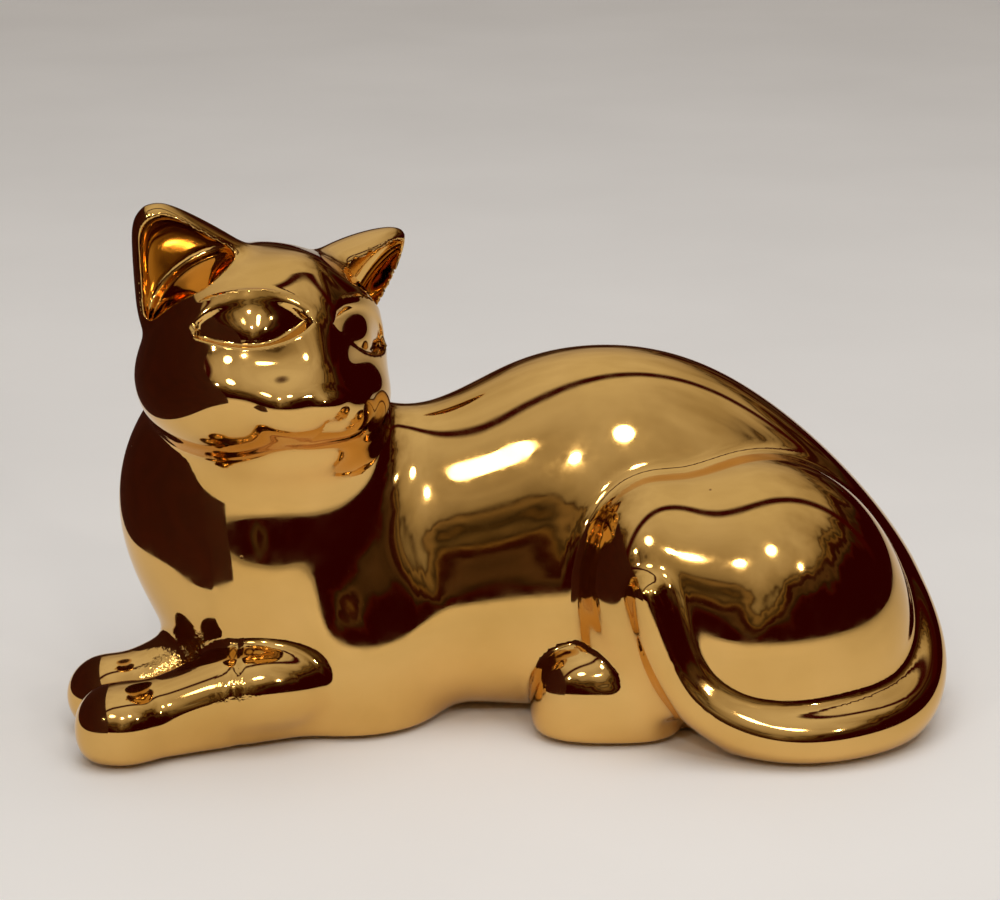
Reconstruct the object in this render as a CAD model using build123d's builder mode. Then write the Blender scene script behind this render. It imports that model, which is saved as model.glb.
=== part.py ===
"""Reclining cat figurine: hollow slip-cast ceramic, assembled from separately cast pieces.

The cat lies along X with its chest towards -X and its rump towards +X, and turns its
face towards -Y. Its own left side is the -Y side. Lengths are in millimetres.
"""
import os

from build123d import *

# Ceramic and base
WALL = 5.0                  # thickness of the cast walls
PAD_THICKNESS = 1.5         # the ceramic stands this far off the table, on felt pads
PAD_RADIUS = 8.0
FLOOR_TOP = PAD_THICKNESS + WALL
VENT_RADIUS = 7.0           # drain and firing hole in the underside
VENT_PLACE = (14, 16)
PLUG_FLANGE_RADIUS = VENT_RADIUS + 3
PLUG_FLANGE = 1.0
PLUG_STEM = WALL + 2        # reaches a little way into the hollow
PLUG_CHAMFER = 1.2
BLOCK_SIZE = 400            # larger than the whole figure
PAD_PLACES = {
    "felt_pad_front_left": (-58, -12),
    "felt_pad_front_right": (-58, 36),
    "felt_pad_rear_left": (94, -22),
    "felt_pad_rear_right": (94, 48),
}

# Trunk: elliptical sections across X, from chest to rump
# x, centre y, centre z, half width, half height
TRUNK_SECTIONS = [
    (-84, 8, 50, 30, 46),
    (-60, 10, 52, 36, 52),
    (-28, 15, 51, 38, 53),
    (0, 20, 54, 42, 61.5),
    (30, 21, 56, 45, 66),
    (65, 23, 51, 43, 64.5),
    (98, 21, 41, 40, 54),
    (125, 18, 28, 33, 40.5),
    (142, 16, 17, 22, 25),
    (150, 15, 12, 11, 13),
]
RUMP_TIP = (154, 15, 11)

# Rounded masses that swell out of the trunk: centre, half sizes
CHEST = ((-88, 7, 70), (42.5, 33, 54))
LEFT_UPPER_ARM = ((-82, 1, 43), (34, 33, 48))
LEFT_SHOULDER = ((-54, -4, 16), (32, 29, 50))
RIGHT_SHOULDER = ((-60, 34, 28), (32, 22, 46))
LEFT_THIGH = ((82, -6, 24), (55, 44, 67))
LEFT_KNEE = ((47, -12, 46), (27, 27, 40))
RIGHT_THIGH = ((82, 40, 26), (52, 32, 56))
BODY_MASSES = (CHEST, LEFT_UPPER_ARM, LEFT_SHOULDER, RIGHT_SHOULDER, LEFT_THIGH, LEFT_KNEE, RIGHT_THIGH)
LEFT_HIND_PAW = ((28, -17, 13), (21, 18, 20))
RIGHT_HIND_PAW = ((27, 52, 12), (20, 17, 16))

# Limbs: points of the centre line, each with the section's half width and half height.
# Those on the table reach below the base plane, which cuts them flat.
LEFT_FORELEG = [
    ((-68, -28, 16), (12, 17)),
    ((-84, -32, 18), (14, 18)),
    ((-98, -35.5, 15), (13.5, 17)),
    ((-113, -39.5, 12), (12, 15)),
    ((-128, -43, 10), (11.5, 13)),
]
LEFT_ELBOW = ((-68, -27, 15), (13, 12, 17))
LEFT_FOREPAW = ((-128, -43, 12), (14.5, 13, 13))
RIGHT_FORELEG = [
    ((-82, 6, 18), (15, 27)),
    ((-100, -3, 14), (13, 23)),
    ((-116, -11, 11), (12, 18)),
    ((-133, -18, 10), (11, 14)),
]
RIGHT_FOREPAW = ((-133, -17, 12.5), (13.5, 11.5, 12.5))
TAIL = [
    ((118, 18, 62), (8, 8)),
    ((130, 11, 50), (9.5, 9.5)),
    ((136, 2, 36), (10.5, 10.5)),
    ((137, -11, 22), (11, 11)),
    ((130, -28, 12), (11, 11)),
    ((113, -42.5, 9.5), (10.5, 10.5)),
    ((94, -47.5, 9), (10, 10)),
    ((77, -47, 12), (9, 9)),
    ((63, -45, 19.5), (8, 8)),
    ((55, -43, 29), (7.3, 7.3)),
    ((50, -41.5, 39), (6.8, 6.8)),
    ((46.5, -40, 50), (5.6, 5.6)),
    ((45.2, -39.5, 55), (4, 4)),
]
TAIL_TIP = (44.5, -39.2, 59)

# Head, in its own frame: x to the cat's left, y towards the back of the skull, z up
HEAD_PLACE = (-79, -6, 131)
HEAD_TURN = 33              # towards its left, seen from above
HEAD_TILT = 11              # its left side lower
SKULL = ((0, 0, 0), (40, 35, 32.5))
JOWL = ((15, 0, -14), (28.5, 34, 24))
MUZZLE = ((0, -12, -11), (37, 30, 15.5))
WHISKER_PAD = ((8, -35, -13), (11, 9, 8.5))
CHIN = ((0, -27, -20), (11, 10, 7))
EYE_SOCKET = ((21, -38, 8), (16, 12, 6.5))
NOSE_BRIDGE = ((0, -31, 3), (7, 9, 17))
NOSE_LEAN = -32             # its top leans back
NECK_RADIUS = 16            # opening that joins the head's hollow to the body's
NECK_LENGTH = 48

# Ear, in its own frame: z along the ear to its tip, x across it, y towards its back
EAR_BASE = (28, 6, 18.5)
EAR_TURN = 29               # its hollow turned outwards from straight ahead
EAR_LEAN = 43               # outwards from upright
EAR_SECTIONS = [            # z, half width, half depth
    (-14, 18, 10),
    (-2, 17.5, 9.5),
    (9, 14.5, 8),
    (19, 10.5, 5.5),
    (25, 7, 3.5),
]
EAR_TIP = 29
EAR_HOLLOW = ((0, -9, 4), (14.5, 10.5, 20))


def rounded_mass(centre, half_sizes, wall=0.0, lean=0.0):
    """An egg-shaped solid, or with a wall thickness the hollow inside such a solid."""
    inset_sizes = tuple(size - wall for size in half_sizes)
    with BuildPart() as mass:
        Sphere(1)
        scale(by=inset_sizes)
    return mass.part.moved(Location(centre, (lean, 0, 0)))


def oval(plane, half_width, half_height):
    """An elliptical section on a plane."""
    with BuildSketch(plane) as outline:
        Ellipse(half_width, half_height)
    return outline.sketch


def limb(stations, tip=None):
    """A tapering bar along a curve through the stations, closed at a tip if it has one."""
    points = [Vector(*point) for point, half_sizes in stations]
    with BuildLine() as route:
        Spline(*points)
    centre_line = route.edge()
    sections = []
    for point, (place, half_sizes) in zip(points, stations):
        direction = centre_line % centre_line.param_at_point(point)
        across = direction.cross(Vector(0, 0, 1))
        sections.append(oval(Plane(origin=point, x_dir=across, z_dir=direction), *half_sizes))
    if tip:
        sections.append(Vertex(*tip))
    with BuildPart() as bar:
        loft(sections)
    return bar.part


def trunk(wall=0.0):
    """The body between chest and rump, or with a wall thickness the hollow inside it."""
    sections = []
    for x, y, z, half_width, half_height in TRUNK_SECTIONS:
        across = Plane(origin=(x, y, z), x_dir=(0, 1, 0), z_dir=(1, 0, 0))
        sections.append(oval(across, half_width - wall, half_height - wall))
    tip_x, tip_y, tip_z = RUMP_TIP
    with BuildPart() as body:
        loft(sections + [Vertex(tip_x - wall, tip_y, tip_z)])
    return body.part


def below(height):
    """A block that fills everything below a height."""
    with BuildPart() as block:
        with Locations((0, 0, height)):
            Box(BLOCK_SIZE, BLOCK_SIZE, BLOCK_SIZE, align=(Align.CENTER, Align.CENTER, Align.MAX))
    return block.part


def mirrored_pair(solid):
    """The solid and its mirror image across the face's middle."""
    return [solid, solid.mirror(Plane.YZ)]


def head_pose():
    """Where the head's own frame stands on the body."""
    return Location(HEAD_PLACE) * Location((0, 0, 0), (0, 0, HEAD_TURN)) * Location((0, 0, 0), (0, HEAD_TILT, 0))


# The head's outer form and its hollow, in the head's own frame
with BuildPart() as head_form:
    add(rounded_mass(*SKULL))
    for jowl in mirrored_pair(rounded_mass(*JOWL)):
        add(jowl)
    add(rounded_mass(*MUZZLE))
    for pad in mirrored_pair(rounded_mass(*WHISKER_PAD)):
        add(pad)
    add(rounded_mass(*CHIN))
    add(rounded_mass(*NOSE_BRIDGE, lean=NOSE_LEAN))
    for socket in mirrored_pair(rounded_mass(*EYE_SOCKET)):
        add(socket, mode=Mode.SUBTRACT)

with BuildPart() as head_hollow:
    add(rounded_mass(*SKULL, wall=WALL))
    for jowl in mirrored_pair(rounded_mass(*JOWL, wall=WALL)):
        add(jowl)

# The body's outer form and its hollow
with BuildPart() as torso_form:
    add(trunk())
    for mass in BODY_MASSES:
        add(rounded_mass(*mass))
    add(below(PAD_THICKNESS), mode=Mode.SUBTRACT)

with BuildPart() as torso_hollow:
    add(trunk(wall=WALL))
    for mass in BODY_MASSES:
        add(rounded_mass(*mass, wall=WALL))
    add(below(FLOOR_TOP), mode=Mode.SUBTRACT)

head_outer = head_form.part.moved(head_pose())

# Torso: the hollow body, seated round the underside of the head, with a vent in its floor
with BuildPart() as torso_shell:
    add(torso_form.part)
    add(torso_hollow.part, mode=Mode.SUBTRACT)
    add(head_outer, mode=Mode.SUBTRACT)
    with Locations((*VENT_PLACE, PAD_THICKNESS)):
        Cylinder(VENT_RADIUS, WALL, align=(Align.CENTER, Align.CENTER, Align.MIN), mode=Mode.SUBTRACT)

# Head: hollow, open to the body through the neck
with BuildPart() as neck_opening:
    with Locations((0, 0, -NECK_LENGTH)):
        Cylinder(NECK_RADIUS, NECK_LENGTH, align=(Align.CENTER, Align.CENTER, Align.MIN))

with BuildPart() as head_shell:
    add(head_outer)
    add(head_hollow.part.moved(head_pose()), mode=Mode.SUBTRACT)
    add(neck_opening.part.moved(head_pose()), mode=Mode.SUBTRACT)


def ear(side):
    """One ear, cupped towards the front and seated on the skull. Side is 1 for the left ear."""
    sections = [
        oval(Plane.XY.offset(height), half_width, half_depth)
        for height, half_width, half_depth in EAR_SECTIONS
    ]
    with BuildPart() as blade:
        loft(sections + [Vertex(0, 0, EAR_TIP)])
        add(rounded_mass(*EAR_HOLLOW), mode=Mode.SUBTRACT)
    turned = blade.part.moved(Location((0, 0, 0), (0, 0, EAR_TURN)))
    leaning = turned.moved(Location(EAR_BASE) * Location((0, 0, 0), (0, EAR_LEAN, 0)))
    placed = leaning if side > 0 else leaning.mirror(Plane.YZ)
    with BuildPart() as seated:
        add(placed.moved(head_pose()))
        add(head_outer, mode=Mode.SUBTRACT)
    return seated.part.solids().sort_by(SortBy.VOLUME)[-1]


def luted_piece(*forms):
    """A piece trimmed to the base plane and to the body it is joined to."""
    with BuildPart() as piece:
        for form in forms:
            add(form)
        add(below(PAD_THICKNESS), mode=Mode.SUBTRACT)
        add(torso_form.part, mode=Mode.SUBTRACT)
    return piece.part.solids().sort_by(SortBy.VOLUME)[-1]


# Plug that closes the vent: a flange under the floor and a stem through it
with BuildPart() as vent_plug:
    with Locations((*VENT_PLACE, PAD_THICKNESS - PLUG_FLANGE)):
        Cylinder(PLUG_FLANGE_RADIUS, PLUG_FLANGE, align=(Align.CENTER, Align.CENTER, Align.MIN))
    with Locations((*VENT_PLACE, PAD_THICKNESS)):
        Cylinder(VENT_RADIUS, PLUG_STEM, align=(Align.CENTER, Align.CENTER, Align.MIN))
    chamfer(vent_plug.faces().sort_by(Axis.Z)[-1].edges(), PLUG_CHAMFER)


def felt_pad(place):
    """A round felt pad glued under the base."""
    with BuildPart() as pad:
        with Locations((*place, 0)):
            Cylinder(PAD_RADIUS, PAD_THICKNESS, align=(Align.CENTER, Align.CENTER, Align.MIN))
    return pad.part


pieces = {
    "torso_shell": torso_shell.part,
    "head_shell": head_shell.part,
    "left_ear": ear(1),
    "right_ear": ear(-1),
    "left_foreleg": luted_piece(
        limb(LEFT_FORELEG), rounded_mass(*LEFT_ELBOW), rounded_mass(*LEFT_FOREPAW)
    ),
    "right_foreleg": luted_piece(limb(RIGHT_FORELEG), rounded_mass(*RIGHT_FOREPAW)),
    "left_hind_paw": luted_piece(rounded_mass(*LEFT_HIND_PAW)),
    "right_hind_paw": luted_piece(rounded_mass(*RIGHT_HIND_PAW)),
    "tail": luted_piece(limb(TAIL, TAIL_TIP)),
    "vent_plug": vent_plug.part,
}
for pad_name, pad_place in PAD_PLACES.items():
    pieces[pad_name] = felt_pad(pad_place)

# The origin is at the middle of the whole figure's box, on the table
boxes = [solid.bounding_box() for solid in pieces.values()]
middle_x = (min(box.min.X for box in boxes) + max(box.max.X for box in boxes)) / 2
middle_y = (min(box.min.Y for box in boxes) + max(box.max.Y for box in boxes)) / 2
to_origin = Location((-middle_x, -middle_y, 0))

os.makedirs("parts", exist_ok=True)
for name, solid in pieces.items():
    placed_solid = solid.moved(to_origin)
    placed_solid.label = name
    export_step(placed_solid, f"parts/{name}.step")
print("the middle of the figure was at", round(middle_x, 3), round(middle_y, 3))
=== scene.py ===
"""The reclining gold cat figurine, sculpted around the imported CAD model.

Every ceramic piece is a patch of one smooth sculpted surface, so the luted joints run
into each other under the gold as on the real casting. Sculpting is done in millimetres,
in the CAD model's frame.
"""

import bpy
import numpy as np
import openvdb
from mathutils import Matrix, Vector


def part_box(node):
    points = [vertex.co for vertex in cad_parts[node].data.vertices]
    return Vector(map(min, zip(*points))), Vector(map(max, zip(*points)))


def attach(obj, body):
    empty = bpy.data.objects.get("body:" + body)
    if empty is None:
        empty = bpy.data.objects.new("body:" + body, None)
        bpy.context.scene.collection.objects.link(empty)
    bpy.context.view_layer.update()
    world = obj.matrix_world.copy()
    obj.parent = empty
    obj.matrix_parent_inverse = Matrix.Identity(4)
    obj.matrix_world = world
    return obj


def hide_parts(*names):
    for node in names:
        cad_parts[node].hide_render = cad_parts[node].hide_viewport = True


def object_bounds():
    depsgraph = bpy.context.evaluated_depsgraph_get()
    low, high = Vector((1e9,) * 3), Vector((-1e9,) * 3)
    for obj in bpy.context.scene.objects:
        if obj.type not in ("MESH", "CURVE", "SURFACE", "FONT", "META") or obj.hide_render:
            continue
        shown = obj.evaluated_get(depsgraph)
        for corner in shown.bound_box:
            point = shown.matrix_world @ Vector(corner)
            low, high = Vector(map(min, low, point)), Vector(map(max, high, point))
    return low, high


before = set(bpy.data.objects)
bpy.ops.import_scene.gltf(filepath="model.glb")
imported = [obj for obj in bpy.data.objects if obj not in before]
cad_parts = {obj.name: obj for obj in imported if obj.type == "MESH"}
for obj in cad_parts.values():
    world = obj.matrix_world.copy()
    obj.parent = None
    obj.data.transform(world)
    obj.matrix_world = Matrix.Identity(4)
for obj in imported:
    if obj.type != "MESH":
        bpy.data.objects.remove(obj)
cad_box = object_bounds()

MM = 0.001


def box_middle(node):
    """Middle of a CAD node's box, in millimetres."""
    low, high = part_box(node)
    return (np.array(low) + np.array(high)) / 2 / MM


# The sculpture is laid out from the vent plug, which sits in the middle of the underside.
PLUG_PLACE = np.array([14.0, 16.0])
PLUG_MIDDLE = box_middle("vent_plug")
ORIGIN = np.array([PLUG_MIDDLE[0] - PLUG_PLACE[0], PLUG_MIDDLE[1] - PLUG_PLACE[1], 0.0])
BASE_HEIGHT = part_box("felt_pad_front_left")[1][2] / MM      # the ceramic stands on its felt pads

RECESS_RADIUS = 7.3
RECESS_TOP = 9.0

# Sculpted forms, in millimetres. Ovals are centre and half sizes.
# Trunk sections are eggs on end: x, centre y, half width, centre z, half height.
TRUNK = [
    (-84, 8, 28, 40, 56),
    (-60, 10, 33, 44, 60),
    (-28, 15, 36, 51, 53),
    (0, 20, 41, 57, 58.5),
    (30, 21, 42.5, 59, 63),
    (65, 22, 41, 52, 63.5),
    (98, 21, 37, 40, 55),
    (125, 18, 31, 26.5, 42),
    (142, 16, 20, 16, 26),
    (150, 15, 9, 10, 13),
]
TRUNK_TAPER = 0.34      # how much narrower the egg is at the top than at the middle
SECTION_FULLNESS = 2.3  # 2 is an ellipse; more is fuller
CHEST = (-87.5, 7, 72), (44, 33.5, 52)
COLLAR = (-79, -4, 98), (32, 27, 13)
LEFT_UPPER_ARM = (-82, 1, 43), (34, 33, 48)
LEFT_SHOULDER = (-54, -4, 16), (32, 29, 50)
RIGHT_SHOULDER = (-60, 34, 28), (32, 22, 46)
LEFT_THIGH = (82, -6, 24), (55, 44, 67)
LEFT_KNEE = (47, -12, 46), (27, 27, 40)
FLANK_FOLD = [          # a groove round the front of the left thigh
    (62, -17, 96, 1.5),
    (40, -23, 92, 2.5),
    (28, -27, 84, 3),
    (21, -30, 72, 3.5),
    (19.5, -32, 56, 4),
    (23, -35, 42, 4),
    (31, -39, 28, 3),
]
FLANK_FOLD_BOX = (15, -45, 20), (68, -10, 102)
THIGH_POCKET = (57, -50, -2), (13, 27, 15)     # hollowed out between the hind paw and the tail
RIGHT_THIGH = (82, 40, 26), (52, 32, 56)
LEFT_HIND_PAW = (33, -20.5, 12), (26, 18.5, 21)
RIGHT_HIND_PAW = (27, 52, 12), (20, 17, 16)

# Limbs: points of the centre line with the radius there
TAIL = [
    (112, 20, 56, 8),
    (125, 13, 47, 9),
    (133.5, 3, 35, 10.3),
    (136.5, -10, 22, 11),
    (130, -28, 12, 11),
    (113, -42.5, 9.5, 10.5),
    (94, -47.5, 9, 10),
    (77, -47, 12, 9),
    (63, -45, 19.5, 8),
    (55, -43, 29, 7.3),
    (50, -41.5, 39, 6.8),
    (46.5, -40, 50, 6.2),
    (45, -39.5, 55, 5.6),
]
LEFT_FORELEG = [
    (-56, -22, 14, 3.5),
    (-64, -26, 17, 8.5),
    (-74, -29.5, 19.5, 13.5),
    (-86, -32.5, 20, 14.8),
    (-98, -35.5, 18, 13.5),
    (-113, -39.5, 14.5, 12),
    (-128, -43, 12, 12),
]
LEFT_FOREARM = [
    (-62, -20, 10, 12),
    (-98, -33, 9, 12),
    (-126, -44.5, 8.5, 12),
]
LEFT_FOREPAW = (-126.5, -45, 11.5), (14.5, 13.5, 13.5)
JOIN_PLACE = -89.0       # a faint ring where the paw was stuck to the leg
JOIN_WIDTH = 1.6
JOIN_DEPTH = 0.5
RIGHT_FORELEG = [
    (-82, 6, 30, 15),
    (-100, -3, 24, 13),
    (-116, -11, 17, 12),
    (-133, -18, 12.5, 11.5),
]
RIGHT_FOREARM = [
    (-80, 8, 12, 14),
    (-133, -18, 10, 11),
]
RIGHT_FOREPAW = (-134.5, -18, 12), (13.5, 12, 13)

# Head, in its own frame: left, forward, up from its middle
HEAD_MIDDLE = np.array([-79.0, -6.0, 131.0])
HEAD_TURN = np.radians(33)      # to its left
HEAD_TILT = np.radians(11)      # its left side lower
SKULL = (0, 0, 0), (40, 35, 32.5)
JOWL = (14, 0, -14.5), (27.5, 34, 24)
MUZZLE = (0, 12, -12.5), (36.5, 30, 16)
WHISKER_PAD = (8, 35, -14), (12, 9, 9)
CHIN = (0, 27, -20), (11, 10, 7)
NOSE_BRIDGE = [(0, 14, 20, 10), (0, 20, 10, 11), (0, 27, 0, 11), (0, 34, -9, 9.5)]
NOSE_TIP = (0, 42.5, -11.5), (6.5, 4.5, 4.8)
EYE_MIDDLE = np.array([19.5, 8])        # left, up
EYE_SLANT = np.radians(18)              # outer corner lower
EYE_HALF_WIDTH = 16.5
UPPER_LID_RISE = 8.5
LOWER_LID_DROP = 4.0
UPPER_LID_SOFTNESS, LOWER_LID_SOFTNESS = 6.0, 1.0
LID_SOFTENING_HEIGHT = 4        # from the lower lid's softness to the upper lid's
EYE_BED = (0, -5, 0.7), (40, 35, 55)            # the eyes' flat ground, sunk most at the lower lid
EYE_BED_MARGIN = 4              # how far the ground goes beyond the almond
EYEBALL = (15, 15.5, 5), (12, 13, 11)
EYE_FRONT = 5                   # eyes are only let in forward of this

# Ear: base and tip in the head's frame, left side
EAR_BASE = np.array([28.0, -6.0, 18.5])
EAR_TIP = np.array([48.5, -5.0, 40.0])
EAR_FACING = np.array([0.55, 1.0, 0.0])
LEFT_EAR_WIDTH, RIGHT_EAR_WIDTH = 20, 22.5      # half widths at the base
EAR_RISE = 3            # middle of the ear's ovals above its base
EAR_BLADE = (25, 9)     # half width and half depth of the outer oval
EAR_SCOOP = (22.5, 12.5)
EAR_SCOOP_FORWARD = 7   # middle of the cup in front of the ear's own
EAR_SCOOP_SHORTER = 5.5
EAR_RIM = 2.3           # width of the rim beside the cup
EAR_NARROWING = 0.51    # lost from each side for each millimetre up from its root
EAR_ROOT = 4            # root below the base
EAR_SIDE_SLOPE = 0.9    # turns a distance across the ear into one from its leaning side

# How widely each crease is filled, or each edge is rounded
CHEST_BLEND = 26
COLLAR_BLEND = 20
ARM_BLEND = 20
SHOULDER_BLEND = 14
KNEE_BLEND = 22
POCKET_BLEND = 10
LEFT_THIGH_BLEND = 6
RIGHT_THIGH_BLEND = 12
FOLD_BLEND = 6
LIMB_BLEND = 6          # within a foreleg
JOWL_BLEND = 10
MUZZLE_BLEND = 9
WHISKER_BLEND = 8
CHIN_BLEND = 6
BRIDGE_BLEND = 12
NOSE_TIP_BLEND = 3
EYEBALL_BLEND = 5
EYE_BLEND = 1.5
EAR_BLADE_BLEND = 9
EAR_SCOOP_BLEND = 6
EAR_RIM_BLEND = 1.6
BASE_BLEND = 4
RECESS_BLEND = 0.6

PAW_SQUARENESS = 2.3
HIND_PAW_SQUARENESS = 2.6
BOX_MARGIN = 8          # the surface is looked for this far outside the CAD box
FAR = 40.0              # a form's value well away from it
LIMB_BATCH, CAT_BATCH = 60000, 300000       # points worked out at a time, to save memory


def smooth_union(a, b, blend):
    """The nearer of two forms, with the crease between them filled over a width."""
    overlap = np.maximum(blend - np.abs(a - b), 0.0) / blend
    return np.minimum(a, b) - overlap**3 * blend / 6.0


def smooth_overlap(a, b, blend):
    """What two forms share, with its edge rounded over a width."""
    return -smooth_union(-a, -b, blend)


def oval(points, centre, half_sizes):
    """Near distance to an oval solid, negative inside."""
    scaled = (points - np.array(centre, float)) / np.array(half_sizes, float)
    length = np.sqrt((scaled**2).sum(1)) + 1e-9
    slope = np.sqrt(((scaled / np.array(half_sizes, float)) ** 2).sum(1)) + 1e-12
    return length * (length - 1.0) / slope


def smooth_path(stations, spacing=1.5):
    """Points, with radii, along a smooth curve through the stations."""
    stations = np.array(stations, float)
    gaps = np.linalg.norm(np.diff(stations[:, :3], axis=0), axis=1)
    knots = np.concatenate([[0], np.cumsum(gaps)])
    along = np.linspace(0, knots[-1], int(knots[-1] / spacing) + 2)
    return np.stack([natural_spline(along, knots, column) for column in stations.T], 1)


def limb(points, stations):
    """Distance to a round bar whose radius changes along a curve."""
    path = smooth_path(stations)
    nearest = np.empty(len(points))
    for part in np.array_split(np.arange(len(points)), len(points) // LIMB_BATCH + 1):
        offsets = (points[part, None, axis] - path[:, axis] for axis in range(3))
        reach = np.sqrt(sum(offset**2 for offset in offsets)) - path[:, 3]
        middle = np.clip(reach.argmin(1), 1, len(path) - 2)
        rows = np.arange(len(part))
        before, at, after = (reach[rows, middle + step] for step in (-1, 0, 1))
        # The least distance lies on the parabola through the three nearest ones.
        bend = np.maximum(before - 2 * at + after, 1e-9)
        lean = np.clip((before - after) / (2 * bend), -1, 1)
        nearest[part] = at - lean * (before - after) / 2 + lean**2 * bend / 2
    return nearest


def nearby(form, points, low, high, margin=14.0):
    """A form worked out only near its box. Elsewhere it is simply far."""
    inside = ((points > np.array(low) - margin) & (points < np.array(high) + margin)).all(1)
    value = np.full(len(points), FAR)
    if inside.any():
        value[inside] = form(points[inside])
    return value


def natural_spline(x, knots, values):
    """A natural cubic spline through the knots, straight beyond its ends."""
    gaps = np.diff(knots)
    count = len(knots)
    matrix = np.eye(count)
    right_side = np.zeros(count)
    for i in range(1, count - 1):
        matrix[i, i - 1:i + 2] = gaps[i - 1], 2 * (gaps[i - 1] + gaps[i]), gaps[i]
        slope_after = (values[i + 1] - values[i]) / gaps[i]
        slope_before = (values[i] - values[i - 1]) / gaps[i - 1]
        right_side[i] = 6 * (slope_after - slope_before)
    bend = np.linalg.solve(matrix, right_side)
    i = np.clip(np.searchsorted(knots, x) - 1, 0, count - 2)
    a = np.clip((knots[i + 1] - x) / gaps[i], -3, 4)
    b = np.clip((x - knots[i]) / gaps[i], -3, 4)
    curve = ((a**3 - a) * bend[i] + (b**3 - b) * bend[i + 1]) * gaps[i] ** 2 / 6
    return a * values[i] + b * values[i + 1] + np.where((x >= knots[0]) & (x <= knots[-1]), curve, 0)


class Trunk:
    """A form along X whose egg-shaped section changes smoothly through its stations."""

    def __init__(self, sections, taper):
        sections = np.array(sections, float)
        self.taper = taper
        self.first, self.last = sections[0, 0], sections[-1, 0]
        self.x = np.arange(self.first, self.last, 0.1)
        self.columns = [natural_spline(self.x, sections[:, 0], column) for column in sections.T[1:]]

    def reach(self, points, shift):
        """How far out in its section each point is, 1 at the surface, and the slope of that."""
        middle_y, half_width, middle_z, half_height = (
            np.interp(points[:, 0] + shift, self.x, column) for column in self.columns)
        upward = (points[:, 2] - middle_z) / half_height
        width = half_width * (1 - self.taper * np.clip(upward, -1.3, 1.3))
        across = (points[:, 1] - middle_y) / width
        power = SECTION_FULLNESS
        reach = (np.abs(across) ** power + np.abs(upward) ** power) ** (1 / power) + 1e-6
        pull_y = np.abs(across / reach) ** (power - 1) * np.sign(across)
        pull_z = np.abs(upward / reach) ** (power - 1) * np.sign(upward)
        lean = pull_y * across * self.taper * half_width / (width * half_height)
        steepness = pull_z / half_height + lean
        return reach, np.hypot(pull_y / width, steepness)

    def __call__(self, points, step=0.5):
        reach, slope = self.reach(points, 0.0)
        along = (self.reach(points, step)[0] - reach) / step
        distance = (reach - 1) / np.sqrt(slope**2 + np.minimum(along**2, 4 * slope**2))
        beyond = np.maximum(self.first - points[:, 0], points[:, 0] - self.last)
        return np.maximum(distance, beyond)


trunk = Trunk(TRUNK, TRUNK_TAPER)


def torso(points):
    """Body with chest, shoulders and haunches."""
    form = smooth_union(trunk(points), oval(points, *CHEST), CHEST_BLEND)
    form = smooth_union(form, oval(points, *COLLAR), COLLAR_BLEND)
    form = smooth_union(form, oval(points, *LEFT_UPPER_ARM), ARM_BLEND)
    form = smooth_union(form, oval(points, *LEFT_SHOULDER), SHOULDER_BLEND)
    form = smooth_union(form, oval(points, *RIGHT_SHOULDER), SHOULDER_BLEND)
    thigh = smooth_union(oval(points, *LEFT_THIGH), oval(points, *LEFT_KNEE), KNEE_BLEND)
    thigh = smooth_overlap(thigh, -oval(points, *THIGH_POCKET), POCKET_BLEND)
    form = smooth_union(form, thigh, LEFT_THIGH_BLEND)
    form = smooth_union(form, oval(points, *RIGHT_THIGH), RIGHT_THIGH_BLEND)
    fold = nearby(lambda p: limb(p, FLANK_FOLD), points, *FLANK_FOLD_BOX)
    return smooth_overlap(form, -fold, FOLD_BLEND)


def turned_axes(turn, tilt):
    """Rows: left, forward and up of something that faces -Y, turned to its left and tilted."""
    left = np.array([np.cos(turn), np.sin(turn), 0.0])
    forward = np.array([np.sin(turn), -np.cos(turn), 0.0])
    up = np.array([0.0, 0.0, 1.0])
    return np.array([
        left * np.cos(tilt) - up * np.sin(tilt),
        forward,
        up * np.cos(tilt) + left * np.sin(tilt),
    ])


HEAD_AXES = turned_axes(HEAD_TURN, HEAD_TILT)


def in_head_frame(points):
    return (points - HEAD_MIDDLE) @ HEAD_AXES.T


def eye_outline(mirrored):
    """Distance from the almond outline of the eyes in the face's plane, and the height across it."""
    flat = mirrored[:, [0, 2]] - EYE_MIDDLE
    along = flat[:, 0] * np.cos(EYE_SLANT) - flat[:, 1] * np.sin(EYE_SLANT)
    upward = flat[:, 1] * np.cos(EYE_SLANT) + flat[:, 0] * np.sin(EYE_SLANT)
    lids = []
    for rise, side in ((UPPER_LID_RISE, 1), (LOWER_LID_DROP, -1)):
        radius = (EYE_HALF_WIDTH**2 + rise**2) / (2 * rise)
        lids.append(np.hypot(along, side * upward + radius - rise) - radius)
    return np.maximum(*lids), upward


def smooth_step(value):
    value = np.clip(value, 0, 1)
    return value * value * (3 - 2 * value)


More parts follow.
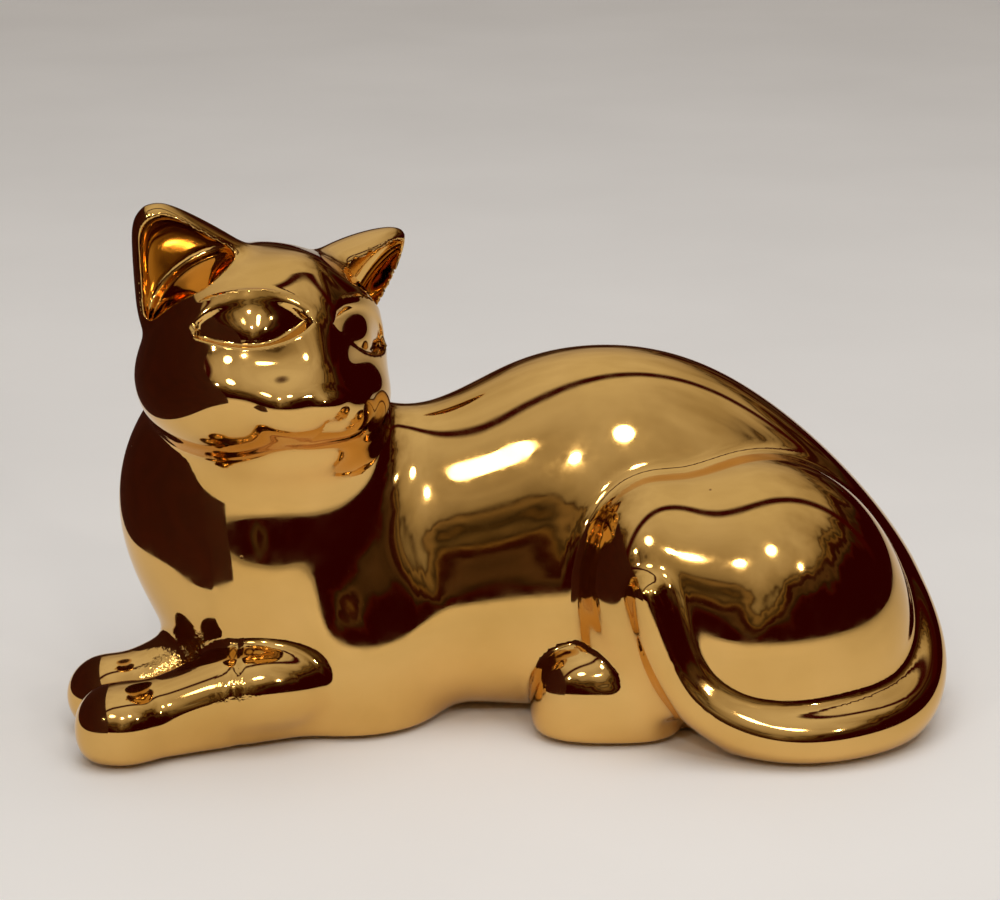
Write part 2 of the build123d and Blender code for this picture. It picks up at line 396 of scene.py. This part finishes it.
def skull(points):
    """Head without its ears."""
    q = in_head_frame(points)
    mirrored = np.stack([np.abs(q[:, 0]), q[:, 1], q[:, 2]], 1)
    form = smooth_union(oval(q, *SKULL), oval(mirrored, *JOWL), JOWL_BLEND)
    form = smooth_union(form, oval(q, *MUZZLE), MUZZLE_BLEND)
    form = smooth_union(form, oval(mirrored, *WHISKER_PAD), WHISKER_BLEND)
    form = smooth_union(form, oval(q, *CHIN), CHIN_BLEND)
    form = smooth_union(form, limb(q, NOSE_BRIDGE), BRIDGE_BLEND)
    form = smooth_union(form, oval(q, *NOSE_TIP), NOSE_TIP_BLEND)

    # Each eye is an almond let into the face: a soft brow above a crisp lower lid.
    edge, upward = eye_outline(mirrored)
    edge = np.where(mirrored[:, 1] > EYE_FRONT, edge, FAR)
    share = smooth_step(upward / LID_SOFTENING_HEIGHT)
    softness = LOWER_LID_SOFTNESS + (UPPER_LID_SOFTNESS - LOWER_LID_SOFTNESS) * share
    opened = smooth_overlap(form, -edge, softness)
    bed = smooth_union(oval(mirrored, *EYE_BED), oval(mirrored, *EYEBALL), EYEBALL_BLEND)
    return smooth_union(opened, np.maximum(bed, edge - EYE_BED_MARGIN), EYE_BLEND)


def ear(points, side, width):
    """One ear, cupped towards the front. Side is 1 for the left ear and -1 for the right,
    and width is half its width at the base."""
    q = in_head_frame(points) * np.array([side, 1, 1]) - EAR_BASE
    upward = EAR_TIP - EAR_BASE
    height = np.linalg.norm(upward)
    upward = upward / height
    facing = EAR_FACING - (EAR_FACING @ upward) * upward
    facing = facing / np.linalg.norm(facing)
    across = np.cross(upward, facing)
    a, w, f = q @ upward, q @ across, q @ facing
    centre = (EAR_RISE, 0, 0)
    blade = oval(np.stack([a, w, f], 1), centre, (height - EAR_RISE, *EAR_BLADE))
    narrowed = EAR_NARROWING * (a + EAR_ROOT)
    taper = (np.abs(w) - (width - narrowed)) * EAR_SIDE_SLOPE
    blade = smooth_overlap(blade, taper, EAR_BLADE_BLEND)
    centre = (EAR_RISE, 0, EAR_SCOOP_FORWARD)
    scoop = oval(np.stack([a, w, f], 1), centre, (height - EAR_SCOOP_SHORTER, *EAR_SCOOP))
    scoop_taper = (np.abs(w) - (width - EAR_RIM - narrowed)) * EAR_SIDE_SLOPE
    scoop = smooth_overlap(scoop, scoop_taper, EAR_SCOOP_BLEND)
    return smooth_overlap(blade, -scoop, EAR_RIM_BLEND)


def boxy(points, centre, half_sizes, squareness):
    """Near distance to an oval solid with fuller corners."""
    offset = points - np.array(centre, float)
    scaled = np.abs(offset) / np.array(half_sizes, float)
    length = (scaled**squareness).sum(1) ** (1 / squareness) + 1e-6
    return np.sqrt((offset**2).sum(1)) * (1 - 1 / length)


def left_foreleg(points):
    form = smooth_union(limb(points, LEFT_FORELEG), limb(points, LEFT_FOREARM), LIMB_BLEND)
    form = smooth_union(form, boxy(points, *LEFT_FOREPAW, PAW_SQUARENESS), LIMB_BLEND)
    return form + JOIN_DEPTH * np.exp(-(((points[:, 0] - JOIN_PLACE) / JOIN_WIDTH) ** 2))


def right_foreleg(points):
    form = smooth_union(limb(points, RIGHT_FORELEG), limb(points, RIGHT_FOREARM), LIMB_BLEND)
    return smooth_union(form, oval(points, *RIGHT_FOREPAW), LIMB_BLEND)


def hind_paw(paw):
    return lambda points: boxy(points, *paw, HIND_PAW_SQUARENESS)


# Each luted piece: its form, the box it lies in, and how widely its joint is filled
PIECES = {
    "torso_shell": (torso, None, None),
    "left_foreleg": (left_foreleg, ((-150, -65, 0), (-50, -10, 45)), 7),
    "right_foreleg": (right_foreleg, ((-155, -40, 0), (-60, 35, 45)), 7),
    "left_hind_paw": (hind_paw(LEFT_HIND_PAW), ((5, -50, 0), (80, 0, 40)), 5),
    "right_hind_paw": (hind_paw(RIGHT_HIND_PAW), ((5, 30, 0), (60, 80, 40)), 5),
    "tail": (lambda p: limb(p, TAIL), ((30, -70, 0), (165, 50, 75)), 8),
    "head_shell": (skull, ((-130, -60, 95), (-25, 45, 170)), 9),
    "left_ear": (lambda p: ear(p, 1, LEFT_EAR_WIDTH), ((-75, -40, 135), (-25, 45, 185)), 5),
    "right_ear": (lambda p: ear(p, -1, RIGHT_EAR_WIDTH), ((-135, -60, 140), (-75, 20, 195)), 5),
}


def piece_forms(points):
    """Each piece's own form at the points, before the pieces are blended."""
    forms = {}
    for name, (form, box, blend) in PIECES.items():
        forms[name] = form(points) if box is None else nearby(form, points, *box)
    return forms


def vent_recess(points):
    """The blind hole for the vent plug, in the middle of the underside."""
    around = np.hypot(points[:, 0] - PLUG_PLACE[0], points[:, 1] - PLUG_PLACE[1]) - RECESS_RADIUS
    return np.maximum(around, points[:, 2] - RECESS_TOP)


def cat(points):
    """The whole cat, standing flat on its base plane."""
    forms = piece_forms(points)
    head = smooth_union(forms["head_shell"], forms["left_ear"], PIECES["left_ear"][2])
    head = smooth_union(head, forms["right_ear"], PIECES["right_ear"][2])
    body = forms["torso_shell"]
    for name in ("left_foreleg", "right_foreleg", "left_hind_paw", "right_hind_paw", "tail"):
        body = smooth_union(body, forms[name], PIECES[name][2])
    body = smooth_union(body, head, PIECES["head_shell"][2])
    body = smooth_overlap(body, BASE_HEIGHT - points[:, 2], BASE_BLEND)
    low, high = (*(PLUG_PLACE - RECESS_RADIUS), 0), (*(PLUG_PLACE + RECESS_RADIUS), RECESS_TOP)
    return smooth_overlap(body, -nearby(vent_recess, points, low, high), RECESS_BLEND)


def gradient(form, points, value, step=0.05):
    """Slope of a form at the points, where its value is already known."""
    return np.stack([form(points + step * axis) - value for axis in np.eye(3)], 1) / step


def settle(points, limit, rounds=2):
    """Moves points onto the cat's surface. Returns them with the surface's normals."""
    for _ in range(rounds):
        value = cat(points)
        slope = gradient(cat, points, value)
        steepness = np.maximum((slope**2).sum(1), 0.05)
        points = points - np.clip(value / steepness, -limit, limit)[:, None] * slope
    return points, slope / np.linalg.norm(slope, axis=1)[:, None]


def upsampled(values, axis, factor):
    """Linear in-between values along one axis of a grid."""
    count = values.shape[axis]
    place = np.arange((count - 1) * factor + 1) / factor
    cell = np.minimum(place.astype(int), count - 2)
    shape = [1, 1, 1]
    shape[axis] = -1
    share = (place - cell).reshape(shape)
    return np.take(values, cell, axis) * (1 - share) + np.take(values, cell + 1, axis) * share


def surface_mesh(low, high, voxel):
    """Points and quads of the cat's surface inside a box."""
    factor = 4
    block = voxel * factor
    counts = np.ceil((high - low) / block).astype(int) + 1
    axes = [low[i] + block * np.arange(counts[i]) for i in range(3)]
    coarse = cat(np.stack(np.meshgrid(*axes, indexing="ij"), -1).reshape(-1, 3)).reshape(counts)
    fine = upsampled(upsampled(upsampled(coarse, 0, factor), 1, factor), 2, factor)
    band = np.abs(fine) < block
    places = low + np.argwhere(band) * voxel
    batches = np.array_split(places, len(places) // CAT_BATCH + 1)
    fine[band] = np.concatenate([cat(batch) for batch in batches])
    grid = openvdb.FloatGrid(3 * voxel)
    grid.copyFromArray(np.clip(fine, -3 * voxel, 3 * voxel).astype(np.float32), tolerance=0)
    points, _, quads = grid.convertToPolygons(0.0, 0.0)
    return low + points.astype(float) * voxel, quads.astype(int)


def form_table(points):
    """One column for each piece's own form."""
    return np.stack(list(piece_forms(points).values()), 1)


def moved_to_seams(points, normals, voxel):
    """Points slid along the surface onto the line where two pieces meet."""
    start = points
    rows = np.arange(len(points))
    nearest = np.argsort(form_table(points), axis=1)[:, :2]

    def difference(places):
        table = form_table(places)
        return table[rows, nearest[:, 0]] - table[rows, nearest[:, 1]]

    for _ in range(3):
        value = difference(points)
        slope = gradient(difference, points, value)
        slope -= (slope * normals).sum(1)[:, None] * normals
        steepness = np.maximum((slope**2).sum(1), 0.02)
        points = points - np.clip(value / steepness, -voxel, voxel)[:, None] * slope
    too_far = np.linalg.norm(points - start, axis=1) > 0.7 * voxel
    points[too_far] = start[too_far]
    return settle(points, voxel)


def sculpted(voxel):
    """The whole surface as one mesh: points, normals, quads and the piece that each quad belongs to."""
    low, high = (np.array(corner) / MM - ORIGIN for corner in cad_box)
    points, quads = surface_mesh(low - BOX_MARGIN, high + BOX_MARGIN, voxel)
    points, normals = settle(points, voxel)
    owner = np.argmin(form_table(points)[quads].sum(1), axis=1)

    # Corners shared by quads of different pieces make the seams.
    lowest = np.full(len(points), len(PIECES))
    highest = np.full(len(points), -1)
    for corner in quads.T:
        np.minimum.at(lowest, corner, owner)
        np.maximum.at(highest, corner, owner)
    seam = lowest < highest
    points[seam], normals[seam] = moved_to_seams(points[seam], normals[seam], voxel)
    return points, normals, quads, owner


def quartered(points, normals, quads, voxel):
    """The same surface with each quad split in four."""
    following = np.roll(quads, -1, axis=1)
    sides = np.sort(np.stack([quads, following], -1).reshape(-1, 2), axis=1)
    edges, side_edge = np.unique(sides, axis=0, return_inverse=True)
    added = np.concatenate([points[edges].mean(1), points[quads].mean(1)])
    added, added_normals = settle(added, voxel)
    middle = len(points) + side_edge.reshape(-1, 4)
    centre = np.arange(len(quads)) + len(points) + len(edges)
    parts = [
        np.stack([quads[:, i], middle[:, i], centre, middle[:, i - 1]], 1)
        for i in range(4)
    ]
    all_normals = np.concatenate([normals, added_normals])
    return np.concatenate([points, added]), all_normals, np.concatenate(parts)


def shell_object(name, points, normals, faces, thickness):
    """A closed skin of a given thickness under the patch, shaded with the surface's own normals."""
    count = len(points)
    edges = np.concatenate([np.stack([faces[:, i], faces[:, (i + 1) % 4]], 1) for i in range(4)])
    key = np.sort(edges, axis=1)
    _, first, times = np.unique(key, axis=0, return_index=True, return_counts=True)
    rim = edges[first[times == 1]]
    rim_faces = np.stack([rim[:, 1], rim[:, 0], rim[:, 0] + count, rim[:, 1] + count], 1)
    all_points = np.concatenate([points, points - normals * thickness]) + ORIGIN
    all_faces = np.concatenate([faces, faces[:, ::-1] + count, rim_faces])
    mesh = bpy.data.meshes.new(name)
    mesh.from_pydata((all_points * MM).tolist(), [], all_faces.tolist())
    mesh.update()
    mesh.polygons.foreach_set("use_smooth", [True] * len(mesh.polygons))
    rim_normals = np.repeat(np.cross(
        all_points[rim_faces[:, 1]] - all_points[rim_faces[:, 0]],
        all_points[rim_faces[:, 2]] - all_points[rim_faces[:, 1]]), 4, axis=0)
    rim_normals /= np.linalg.norm(rim_normals, axis=1)[:, None] + 1e-12
    corner_normals = np.concatenate([
        normals[faces.ravel()], -normals[faces[:, ::-1].ravel()], rim_normals])
    mesh.normals_split_custom_set(corner_normals.tolist())
    piece = bpy.data.objects.new(name, mesh)
    bpy.context.scene.collection.objects.link(piece)
    return piece


# In millimetres
SKIN = 1.2      # thickness of the visible skins
QUAD_SIZE = 1.55
FINE_PIECES = ("head_shell", "left_ear", "right_ear")      # meshed at half that size


def new_material(name):
    material = bpy.data.materials.new(name)
    material.use_nodes = True
    return material, material.node_tree.links, material.node_tree.nodes["Principled BSDF"]


def node_maker(material):
    """A short way to add a node with its settings and its inputs, which are values or sockets."""
    nodes, links = material.node_tree.nodes, material.node_tree.links

    def make(kind, inputs=None, **settings):
        node = nodes.new("ShaderNode" + kind)
        for setting, value in settings.items():
            setattr(node, setting, value)
        for socket, value in (inputs or {}).items():
            if isinstance(value, bpy.types.NodeSocket):
                links.new(value, node.inputs[socket])
            else:
                node.inputs[socket].default_value = value
        return node

    return make


def two_tone(make, pattern, dark, light):
    """The colour that wanders between two as a noise pattern does."""
    tint = make("ValToRGB", {"Fac": pattern})
    first, last = tint.color_ramp.elements
    first.position, last.position = 0.3, 0.7
    first.color, last.color = (*dark, 1), (*light, 1)
    return tint.outputs["Color"]


GOLD_DARK, GOLD_LIGHT = (0.66, 0.39, 0.11), (0.76, 0.465, 0.15)
SPECK_COLOUR = (0.30, 0.15, 0.05)
# Heights of the gold's relief, in metres
WAVE_HEIGHT = 4.0e-5
PEEL_HEIGHT = 1.2e-6
PINHOLE_DEPTH = 3.0e-5
# Where grit gathers: its middle in millimetres, then in metres the distances within which it is
# full and beyond which there is none, and its height
GRIT = [
    ((-96, -17, 26), 0.008, 0.017, 7.0e-4),
    ((-112, -24, 22), 0.006, 0.013, 5.0e-4),
    ((-89, -45, 22), 0.002, 0.009, 3.0e-4),
]


def gold_material():
    """Bright gold fired over glaze: faint waves, orange peel, pinholes and specks under the film."""
    material, links, shader = new_material("plated_gold")
    make = node_maker(material)
    place = make("TexCoord").outputs["Object"]

    def noise(scale, detail):
        return make("TexNoise", {"Vector": place, "Scale": scale, "Detail": detail}).outputs["Fac"]

    waves = noise(scale=55, detail=2)
    peel = noise(scale=750, detail=1)
    film = noise(scale=28, detail=4)
    smears = noise(scale=190, detail=5)

    # A few cells of a fine pattern hold a pinhole or a speck of dust at their middle.
    cells = make("TexVoronoi", {"Vector": place, "Scale": 210, "Randomness": 1.0})
    chosen = make("Math", {0: cells.outputs["Color"], 1: 0.91}, operation="GREATER_THAN").outputs[0]
    dot = make("MapRange", {"Value": cells.outputs["Distance"], 1: 0.05, 2: 0.13, 3: 1.0, 4: 0.0})
    speck = make("Math", {0: dot.outputs[0], 1: chosen}, operation="MULTIPLY").outputs[0]

    tint = two_tone(make, film, GOLD_DARK, GOLD_LIGHT)
    speckled = make("Mix", {"Factor": speck, "A": tint, "B": (*SPECK_COLOUR, 1)}, data_type="RGBA")
    links.new(speckled.outputs["Result"], shader.inputs["Base Color"])
    shader.inputs["Metallic"].default_value = 1.0

    polish = make("MapRange", {"Value": smears, 1: 0.35, 2: 0.75, 3: 0.035, 4: 0.10}).outputs[0]
    dull = make("Math", {0: speck, 1: 0.3, 2: polish}, operation="MULTIPLY_ADD").outputs[0]
    links.new(dull, shader.inputs["Roughness"])

    # Relief: waves about 20 mm across, then peel about 1 mm across
    wavy = make("Math", {0: waves, 1: WAVE_HEIGHT, 2: 0.0}, operation="MULTIPLY_ADD").outputs[0]
    height = make("Math", {0: peel, 1: PEEL_HEIGHT, 2: wavy}, operation="MULTIPLY_ADD").outputs[0]

    # Slip and glaze gathered as grit in the crevice between the forelegs and at the joined paw
    lumps = noise(scale=420, detail=3)
    for middle, inner, outer, depth in GRIT:
        spot = tuple((np.array(middle) + ORIGIN) * MM)
        away = make("VectorMath", {0: place, 1: spot}, operation="DISTANCE").outputs["Value"]
        gritty = make("MapRange", {"Value": away, 1: inner, 2: outer, 3: depth, 4: 0.0}).outputs[0]
        height = make("Math", {0: lumps, 1: gritty, 2: height}, operation="MULTIPLY_ADD").outputs[0]
    pitted = make("Math", {0: speck, 1: -PINHOLE_DEPTH, 2: height}, operation="MULTIPLY_ADD").outputs[0]
    bump = make("Bump", {"Height": pitted, "Distance": 1.0, "Strength": 1.0})
    links.new(bump.outputs["Normal"], shader.inputs["Normal"])
    return material


def mottled(material_name, dark, light, scale, roughness, bump_depth, bump_scale):
    """A matt material whose colour wanders between two, over a fine rough grain."""
    material, links, shader = new_material(material_name)
    make = node_maker(material)
    place = make("TexCoord").outputs["Object"]
    patches = make("TexNoise", {"Vector": place, "Scale": scale, "Detail": 4}).outputs["Fac"]
    links.new(two_tone(make, patches, dark, light), shader.inputs["Base Color"])
    rough = make("MapRange", {"Value": patches, 3: roughness - 0.05, 4: roughness + 0.05}).outputs[0]
    links.new(rough, shader.inputs["Roughness"])
    grain = make("TexNoise", {"Vector": place, "Scale": bump_scale, "Detail": 3}).outputs["Fac"]
    bump = make("Bump", {"Height": grain, "Distance": bump_depth, "Strength": 0.8})
    links.new(bump.outputs["Normal"], shader.inputs["Normal"])
    return material


def felt_material():
    material = mottled("felt", (0.055, 0.05, 0.045), (0.10, 0.095, 0.09),
                       scale=900, roughness=0.95, bump_depth=3e-4, bump_scale=3500)
    shader = material.node_tree.nodes["Principled BSDF"]
    shader.inputs["Sheen Weight"].default_value = 0.6
    return material


def turned_object(name, profile, middle, ragged=0.0, segments=72):
    """A closed solid turned about an upright axis. The profile is radius and height, from the
    middle of the bottom to the middle of the top, and ragged makes its edge uneven."""
    profile = np.array(profile, float)
    rings = profile[1:-1]
    angle = 2 * np.pi * np.arange(segments) / segments
    unevenness = ragged * np.random.default_rng(7).normal(size=(len(rings), segments))
    radius = rings[:, :1] + unevenness * (rings[:, :1] > 0.9 * rings[:, 0].max())
    ring_points = np.stack([
        radius * np.cos(angle), radius * np.sin(angle), rings[:, 1:] + 0 * radius], -1).reshape(-1, 3)
    ends = np.array([[0, 0, profile[0, 1]], [0, 0, profile[-1, 1]]])
    points = np.concatenate([ring_points, ends]) + np.array([middle[0], middle[1], 0])
    bottom, top = len(ring_points), len(ring_points) + 1
    last = (len(rings) - 1) * segments
    faces = []
    for i in range(segments):
        j = (i + 1) % segments
        faces.append((bottom, j, i))
        faces.append((top, last + i, last + j))
        for low in range(0, last, segments):
            faces.append((low + i, low + j, low + segments + j, low + segments + i))
    mesh = bpy.data.meshes.new(name)
    mesh.from_pydata((points * MM).tolist(), [], faces)
    mesh.update()
    mesh.polygons.foreach_set("use_smooth", [True] * len(mesh.polygons))
    piece = bpy.data.objects.new(name, mesh)
    bpy.context.scene.collection.objects.link(piece)
    return piece


def finish_piece(piece, material, node):
    """Gives a visible piece its material and its place in the CAD model."""
    piece.data.materials.append(material)
    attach(piece, "root")
    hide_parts(node)


PAD_INSET = 0.1         # leaves room for the ragged edge inside the CAD disc
PAD_RAGGEDNESS = 0.06


def make_pads():
    """Self-adhesive felt discs with a soft, slightly ragged cut edge."""
    felt = felt_material()
    for place in ("front_left", "front_right", "rear_left", "rear_right"):
        node = "felt_pad_" + place
        low, high = (np.array(corner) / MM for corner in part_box(node))
        radius, thickness = (high[0] - low[0]) / 2 - PAD_INSET, high[2] - low[2]
        profile = [
            (0, 0.0), (0.3 * radius, 0.0), (0.6 * radius, 0.0), (radius - 0.7, 0.04),
            (radius - 0.2, 0.2), (radius, 0.5), (radius, thickness - 0.35),
            (radius - 0.25, thickness - 0.05), (0.6 * radius, thickness), (0, thickness)]
        disc = turned_object(node + "_disc", profile, box_middle(node), PAD_RAGGEDNESS)
        finish_piece(disc, felt, node)


def make_plug():
    """Moulded vent plug: a rounded flange with a dimple and a ring round it, and a barbed stem."""
    rubber = mottled("plug_rubber", (0.12, 0.105, 0.095), (0.19, 0.17, 0.155),
                     scale=260, roughness=0.6, bump_depth=1e-4, bump_scale=1500)
    low, high = (np.array(corner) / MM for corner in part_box("vent_plug"))
    bottom, top, flange = low[2], high[2], (high[0] - low[0]) / 2
    profile = [
        (0, bottom + 0.45), (2.0, bottom + 0.45), (2.7, bottom + 0.12), (3.2, bottom), (5.6, bottom),
        (5.9, bottom + 0.15), (6.4, bottom + 0.15), (6.7, bottom), (flange - 1.6, bottom + 0.02),
        (flange - 0.6, bottom + 0.2), (flange - 0.1, bottom + 0.55), (flange - 0.15, bottom + 0.8),
        (flange - 0.6, bottom + 0.95), (7.0, bottom + 1), (6.6, bottom + 1.6), (6.75, bottom + 2.4),
        (7.0, bottom + 3.2), (7.0, top - 1.6), (6.6, top - 0.7), (5.8, top), (0, top)]
    plug = turned_object("vent_plug_moulded", profile, box_middle("vent_plug"))
    finish_piece(plug, rubber, "vent_plug")


def make_ceramic():
    gold = gold_material()
    voxel = QUAD_SIZE
    points, normals, quads, owner = sculpted(voxel)
    for number, name in enumerate(PIECES):
        used, faces = np.unique(quads[owner == number], return_inverse=True)
        patch = points[used], normals[used], faces.reshape(-1, 4)
        if name in FINE_PIECES:
            patch = quartered(*patch, voxel)
        piece = shell_object(name + "_glazed", *patch, SKIN)
        finish_piece(piece, gold, name)


def make_floor():
    bpy.ops.mesh.primitive_plane_add(size=12)
    floor = bpy.context.object
    floor.name = "floor"
    paint = mottled("pale_floor", (0.90, 0.90, 0.90), (0.94, 0.94, 0.94),
                    scale=5, roughness=0.6, bump_depth=1e-4, bump_scale=90)
    floor.data.materials.append(paint)


def make_flag():
    """A dark card left of the table, for the dark side of the reflections on the chest.
    It only shows in reflections, so it hides nothing and darkens nothing else."""
    bpy.ops.mesh.primitive_circle_add(
        vertices=96, radius=1, fill_type="NGON", location=(-0.25, 0.0, 0.06),
        rotation=(0, np.radians(90), 0))
    flag = bpy.context.object
    flag.name = "flag"
    flag.scale = (0.24, 0.42, 1)
    cloth = mottled("flag_cloth", (0.045, 0.002, 0.001), (0.07, 0.007, 0.003),
                    scale=8, roughness=0.9, bump_depth=1e-4, bump_scale=900)
    flag.data.materials.append(cloth)
    flag.visible_camera = flag.visible_diffuse = flag.visible_shadow = False


# The room's colour by height, from the horizon to straight up: dark low down, with thin lighter
# bands, then a broad bright ceiling
ROOM_BANDS = [
    (0.0, (0.030, 0.001, 0.001)), (0.04, (0.055, 0.006, 0.003)), (0.07, (0.03, 0.016, 0.006)),
    (0.12, (0.10, 0.055, 0.03)), (0.135, (0.030, 0.006, 0.003)), (0.19, (0.045, 0.008, 0.004)),
    (0.215, (0.20, 0.12, 0.05)), (0.24, (0.035, 0.022, 0.01)), (0.29, (0.26, 0.18, 0.10)),
    (0.315, (0.06, 0.035, 0.015)), (0.345, (0.30, 0.25, 0.19)), (0.44, (0.48, 0.42, 0.34)),
    (0.7, (0.70, 0.66, 0.61)), (1.0, (0.84, 0.82, 0.79)),
]
ROOM_STRENGTH = 0.9
LEFT_RISE, RIGHT_RISE = 0.35, 0.4       # how much higher the bands stand at the sides
BAND_WAVINESS = 0.7
BEAM_SLANT = 0.55
BEAM_OFFSET = 0.22
BEAM_CORE, BEAM_FALL = 1.6, 19.0        # the beam is full within (core - 1) / fall of its line
BEAM_COLOUR = (0.05, 0.003, 0.002)
BEAM_START, BEAM_FADE = 0.2, 8.0        # height at which the beam begins, and how fast it comes in
BACKDROP_COLOUR = (0.86, 0.85, 0.83)


def make_room():
    """The room round the table. The gold and the floor reflect dark bands under a bright ceiling,
    in large soft shapes, and the camera sees one pale backdrop."""
    world = bpy.data.worlds.new("room")
    bpy.context.scene.world = world
    world.use_nodes = True
    nodes, links = world.node_tree.nodes, world.node_tree.links
    direction = nodes.new("ShaderNodeTexCoord").outputs["Generated"]
    split = nodes.new("ShaderNodeSeparateXYZ")
    links.new(direction, split.inputs[0])

    def maths(operation, *values):
        node = nodes.new("ShaderNodeMath")
        node.operation = operation
        for socket, value in zip(node.inputs, values):
            if isinstance(value, (int, float)):
                socket.default_value = value
            else:
                links.new(value, socket)
        return node.outputs[0]

    # The dark shapes stand higher at the sides, and their tops are uneven.
    waves = nodes.new("ShaderNodeTexNoise")
    links.new(direction, waves.inputs["Vector"])
    waves.inputs["Scale"].default_value = 3.2
    waves.inputs["Detail"].default_value = 3.0
    left = maths("MAXIMUM", maths("MULTIPLY", split.outputs["X"], -1.0), 0.0)
    right = maths("MAXIMUM", split.outputs["X"], 0.0)
    sides = maths("ADD", maths("MULTIPLY", left, LEFT_RISE), maths("MULTIPLY", right, RIGHT_RISE))
    lowered = maths("SUBTRACT", split.outputs["Z"], sides)
    rough_edge = maths("MULTIPLY", maths("SUBTRACT", waves.outputs["Fac"], 0.5), BAND_WAVINESS)
    height = maths("ADD", lowered, rough_edge)
    ramp = nodes.new("ShaderNodeValToRGB")
    links.new(height, ramp.inputs["Fac"])
    elements = ramp.color_ramp.elements
    for element, (position, colour) in zip(elements, (ROOM_BANDS[0], ROOM_BANDS[-1])):
        element.position, element.color = position, (*colour, 1)
    for position, colour in ROOM_BANDS[1:-1]:
        elements.new(position).color = (*colour, 1)

    # A dark beam that crosses the ceiling reflects as the dark line along the cat's back.
    slanted = maths("SUBTRACT", split.outputs["Y"], maths("MULTIPLY", split.outputs["X"], BEAM_SLANT))
    off_beam = maths("ABSOLUTE", maths("ADD", slanted, BEAM_OFFSET))
    near_beam = maths("SUBTRACT", BEAM_CORE, maths("MULTIPLY", off_beam, BEAM_FALL))
    overhead = maths("MULTIPLY", maths("SUBTRACT", split.outputs["Z"], BEAM_START), BEAM_FADE)
    for limited in (near_beam, overhead):
        limited.node.use_clamp = True
    mixed = nodes.new("ShaderNodeMix")
    mixed.data_type = "RGBA"
    links.new(maths("MULTIPLY", overhead, near_beam), mixed.inputs["Factor"])
    links.new(ramp.outputs["Color"], mixed.inputs["A"])
    mixed.inputs["B"].default_value = (*BEAM_COLOUR, 1)
    reflected = nodes["Background"]
    links.new(mixed.outputs["Result"], reflected.inputs["Color"])
    reflected.inputs["Strength"].default_value = ROOM_STRENGTH

    # Seen directly, the room is one pale backdrop.
    backdrop = nodes.new("ShaderNodeBackground")
    backdrop.inputs["Color"].default_value = (*BACKDROP_COLOUR, 1)
    seen = nodes.new("ShaderNodeLightPath").outputs["Is Camera Ray"]
    chosen = nodes.new("ShaderNodeMixShader")
    links.new(seen, chosen.inputs[0])
    links.new(reflected.outputs[0], chosen.inputs[1])
    links.new(backdrop.outputs[0], chosen.inputs[2])
    links.new(chosen.outputs[0], nodes["World Output"].inputs["Surface"])


LAMP_AIM = (0, 0, 0.05)
SPOT_POWER = 1.6
SPOT_FORWARD = -1.3
# Place across, height and size of each small lamp
SPOTS = [
    (-0.95, 0.95, 0.06), (-0.5, 1.25, 0.26), (-0.05, 1.0, 0.08), (0.4, 1.3, 0.2), (0.95, 1.0, 0.06),
]


def lamp(name, place, size, power, colour=(1, 0.93, 0.82)):
    """A round lamp that shines at the figurine."""
    light = bpy.data.lights.new(name, "AREA")
    light.shape = "DISK"
    light.size, light.energy, light.color = size, power, colour
    lamp_object = bpy.data.objects.new(name, light)
    bpy.context.scene.collection.objects.link(lamp_object)
    lamp_object.location = place
    lamp_object.rotation_mode = "QUATERNION"
    towards = Vector(LAMP_AIM) - Vector(place)
    lamp_object.rotation_quaternion = towards.to_track_quat("-Z", "Y")
    return lamp_object


def make_lights():
    """A large soft lamp overhead, kept out of the reflections, and a row of small ones in front."""
    overhead = lamp("overhead", (0.25, -0.25, 1.8), 1.8, 12, (0.97, 0.98, 1.0))
    overhead.visible_glossy = False
    for number, (x, height, size) in enumerate(SPOTS):
        lamp(f"spot_{number}", (x, SPOT_FORWARD, height), size, SPOT_POWER)


CAMERA_ELEVATION = np.radians(17)
CAMERA_DISTANCE = 0.9
CAMERA_AIM = np.array([-3.0, 0.0, 92.0])        # in millimetres, in the sculpture's frame
CAMERA_LENS = 97.2


def make_camera():
    """Stands at the photographed angle, square to the body's side."""
    aim = CAMERA_AIM + ORIGIN
    back = np.array([0, -np.cos(CAMERA_ELEVATION), np.sin(CAMERA_ELEVATION)])
    data = bpy.data.cameras.new("camera")
    data.sensor_width, data.lens = 36, CAMERA_LENS
    camera = bpy.data.objects.new("camera", data)
    bpy.context.scene.collection.objects.link(camera)
    camera.location = aim * MM + back * CAMERA_DISTANCE
    camera.rotation_mode = "QUATERNION"
    camera.rotation_quaternion = Vector(-back).to_track_quat("-Z", "Y")
    bpy.context.scene.camera = camera


bpy.context.scene.view_settings.view_transform = "Standard"

make_ceramic()
make_pads()
make_plug()
make_floor()
make_flag()
make_room()
make_lights()
make_camera()
